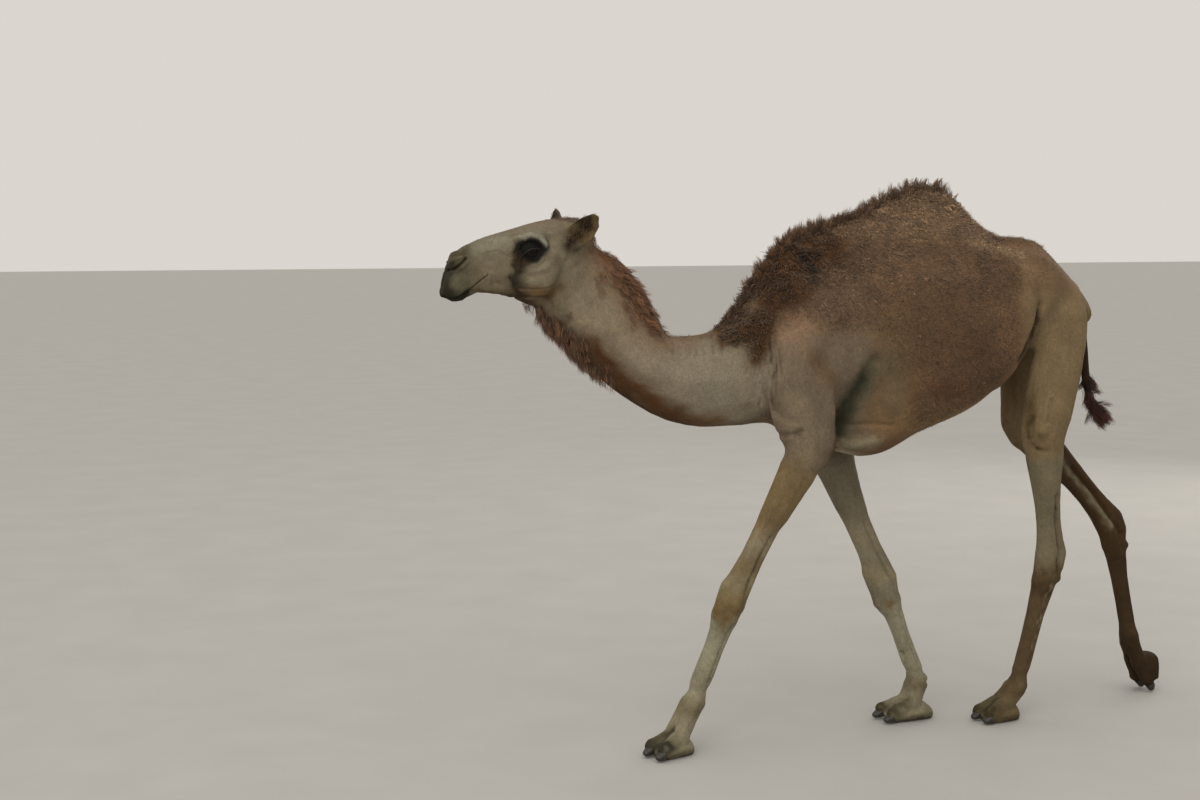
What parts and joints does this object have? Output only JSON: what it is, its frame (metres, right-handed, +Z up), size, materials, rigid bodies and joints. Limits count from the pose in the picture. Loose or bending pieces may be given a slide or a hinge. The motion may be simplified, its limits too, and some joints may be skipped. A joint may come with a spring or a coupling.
{
  "type": "dromedary camel",
  "caption": "Young one-humped camel, life size, still in mid-stride with its neck held low and forward, one hind foot on its toe tips.",
  "frame": {"origin": "on the ground, below the middle of the whole model's box", "axes": "+X towards the tail, the camel faces -X, its left side is -Y, +Z up"},
  "size_m": [2.6234, 0.5218, 1.794],
  "materials": {
    "fleece": "woolly reddish brown coat in small curls",
    "short_coat": "short pale beige hair lying flat",
    "face_coat": "very short grey-brown hair",
    "dark_hair": "long dark brown hair",
    "eye": "wet dark brown eyeball",
    "nail": "dark grey horn"
  },
  "bodies": {
    "root": {"head": "face_coat", "jaw": "face_coat", "ear_left": "face_coat", "ear_right": "face_coat", "eye_left": "eye", "eye_right": "eye", "neck_upper": "short_coat", "neck_middle": "short_coat", "neck_lower": "short_coat", "chest": "fleece", "barrel": "fleece", "hump": "fleece", "rump": "fleece", "tail_dock": "short_coat", "tail_tuft": "dark_hair", "foreleg_left_shoulder": "fleece", "foreleg_left_forearm": "short_coat", "foreleg_left_cannon": "short_coat", "foreleg_left_foot": "short_coat", "foreleg_left_nail_outer": "nail", "foreleg_left_nail_inner": "nail", "foreleg_right_shoulder": "fleece", "foreleg_right_forearm": "short_coat", "foreleg_right_cannon": "short_coat", "foreleg_right_foot": "short_coat", "foreleg_right_nail_outer": "nail", "foreleg_right_nail_inner": "nail", "hindleg_left_thigh": "fleece", "hindleg_left_shank": "short_coat", "hindleg_left_cannon": "short_coat", "hindleg_left_foot": "short_coat", "hindleg_left_nail_outer": "nail", "hindleg_left_nail_inner": "nail", "hindleg_right_thigh": "fleece", "hindleg_right_shank": "short_coat", "hindleg_right_cannon": "short_coat", "hindleg_right_foot": "short_coat", "hindleg_right_nail_outer": "nail", "hindleg_right_nail_inner": "nail"}
  },
  "joints": []
}
